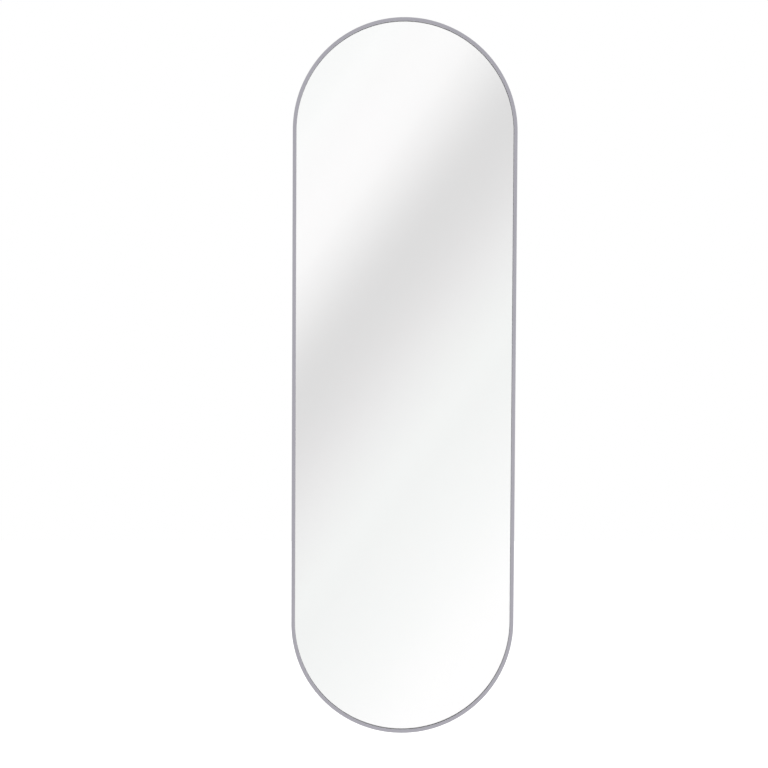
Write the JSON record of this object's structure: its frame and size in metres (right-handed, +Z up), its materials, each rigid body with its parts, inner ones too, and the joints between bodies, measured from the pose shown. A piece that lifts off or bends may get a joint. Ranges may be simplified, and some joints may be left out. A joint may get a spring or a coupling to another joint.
{
  "type": "full-length wall mirror",
  "caption": "Tall flat wall mirror with straight sides and round ends in a thin metal frame, hung by swinging rings at the back.",
  "frame": {"origin": "on the wall plane, that of the bumpers' faces, behind the centre of the mirror", "axes": "+Z up along the mirror's length, the mirror faces -Y away from the wall, +X to the viewer's right"},
  "size_m": [0.5, 0.036, 1.6],
  "materials": {
    "frame_metal": "satin anodised silver grey",
    "mirror": "silvered clear float glass",
    "tape": "white glazing tape",
    "film": "grey safety film",
    "foam": "white foam sheet",
    "board": "smooth brown fibreboard",
    "zinc_steel": "bright zinc plate",
    "ring_steel": "nickel-plated wire",
    "screw_steel": "bright zinc plate",
    "dark_steel": "black oxide",
    "spring_steel": "blued spring steel",
    "rubber": "matte black rubber"
  },
  "bodies": {
    "mirror": {"frame_upper_half": "frame_metal", "frame_lower_half": "frame_metal", "glazing_tape": "tape", "mirror_glass": "mirror", "safety_film": "film", "foam_sheet": "foam", "back_board": "board", "setting_block_left": "rubber", "splice_plate_left": "zinc_steel", "splice_screws_left": "dark_steel", "hanger_strap_left": "zinc_steel", "hanger_nut_bar_left": "zinc_steel", "hanger_screws_left": "screw_steel", "setting_block_right": "rubber", "splice_plate_right": "zinc_steel", "splice_screws_right": "dark_steel", "hanger_strap_right": "zinc_steel", "hanger_nut_bar_right": "zinc_steel", "hanger_screws_right": "screw_steel", "spring_clip_01": "spring_steel", "spring_clip_02": "spring_steel", "spring_clip_03": "spring_steel", "spring_clip_04": "spring_steel", "spring_clip_05": "spring_steel", "spring_clip_06": "spring_steel", "spring_clip_07": "spring_steel", "spring_clip_08": "spring_steel", "spring_clip_09": "spring_steel", "spring_clip_10": "spring_steel", "spring_clip_11": "spring_steel", "spring_clip_12": "spring_steel", "wall_bumper_1": "rubber", "wall_bumper_2": "rubber", "wall_bumper_3": "rubber", "wall_bumper_4": "rubber", "wall_bumper_5": "rubber", "wall_bumper_6": "rubber", "wall_bumper_7": "rubber", "wall_bumper_8": "rubber"},
    "ring_left": {"hanger_ring_left": "ring_steel"},
    "ring_right": {"hanger_ring_right": "ring_steel"}
  },
  "joints": [
    {"name": "hanger_ring_swing_left", "type": "hinge", "parent": "mirror", "child": "ring_left", "pos_m": [-0.241, -0.0031, 0.5], "axis": [1, 0, 0], "range_deg": [0, 180]},
    {"name": "hanger_ring_swing_right", "type": "hinge", "parent": "mirror", "child": "ring_right", "pos_m": [0.241, -0.0031, 0.5], "axis": [1, 0, 0], "range_deg": [0, 180]}
  ]
}
